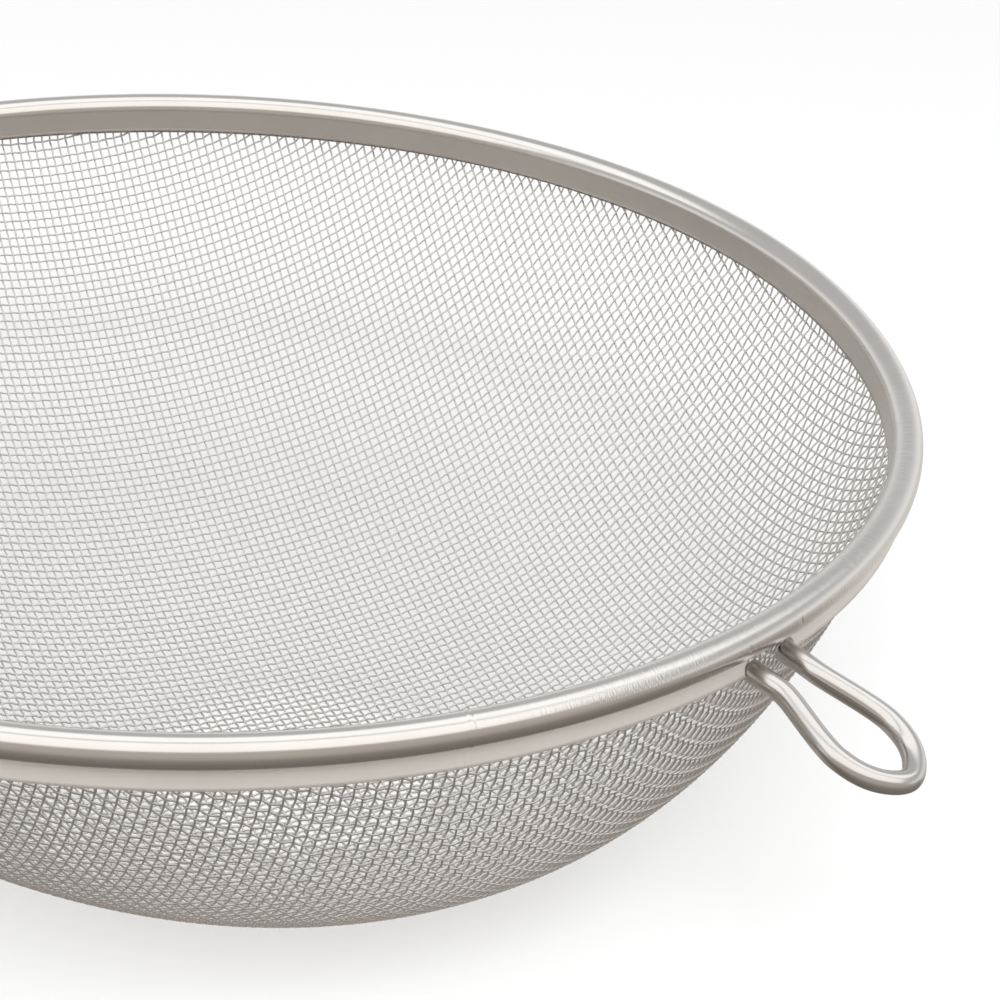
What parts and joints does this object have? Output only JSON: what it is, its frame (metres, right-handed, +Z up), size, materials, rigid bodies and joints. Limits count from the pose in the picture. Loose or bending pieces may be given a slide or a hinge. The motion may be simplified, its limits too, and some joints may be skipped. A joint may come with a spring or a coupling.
{
  "type": "wire-mesh strainer",
  "caption": "Round-bottom kitchen strainer with a rolled steel rim, a woven wire bowl, a wire rest loop and a tubular handle on a wire fork.",
  "frame": {"origin": "centre of the flat base on the underside of the bowl", "axes": "+Z up, square to the rim's plane; +X from the handle towards the rest loop"},
  "size_m": [0.4658, 0.2596, 0.0952],
  "materials": {
    "rim_steel": "rolled stainless strip, semi-bright, with fine scratches",
    "mesh_steel": "drawn stainless wire, satin",
    "wire_steel": "drawn stainless wire, bright",
    "grip_steel": "brushed stainless tube, satin"
  },
  "bodies": {
    "root": {"rim_band": "rim_steel", "mesh_bowl": "mesh_steel", "rest_loop": "wire_steel", "handle_fork": "wire_steel", "handle_front_plug": "grip_steel", "handle_tube": "grip_steel", "handle_end_plug": "grip_steel", "hanging_eye": "wire_steel"}
  },
  "joints": []
}
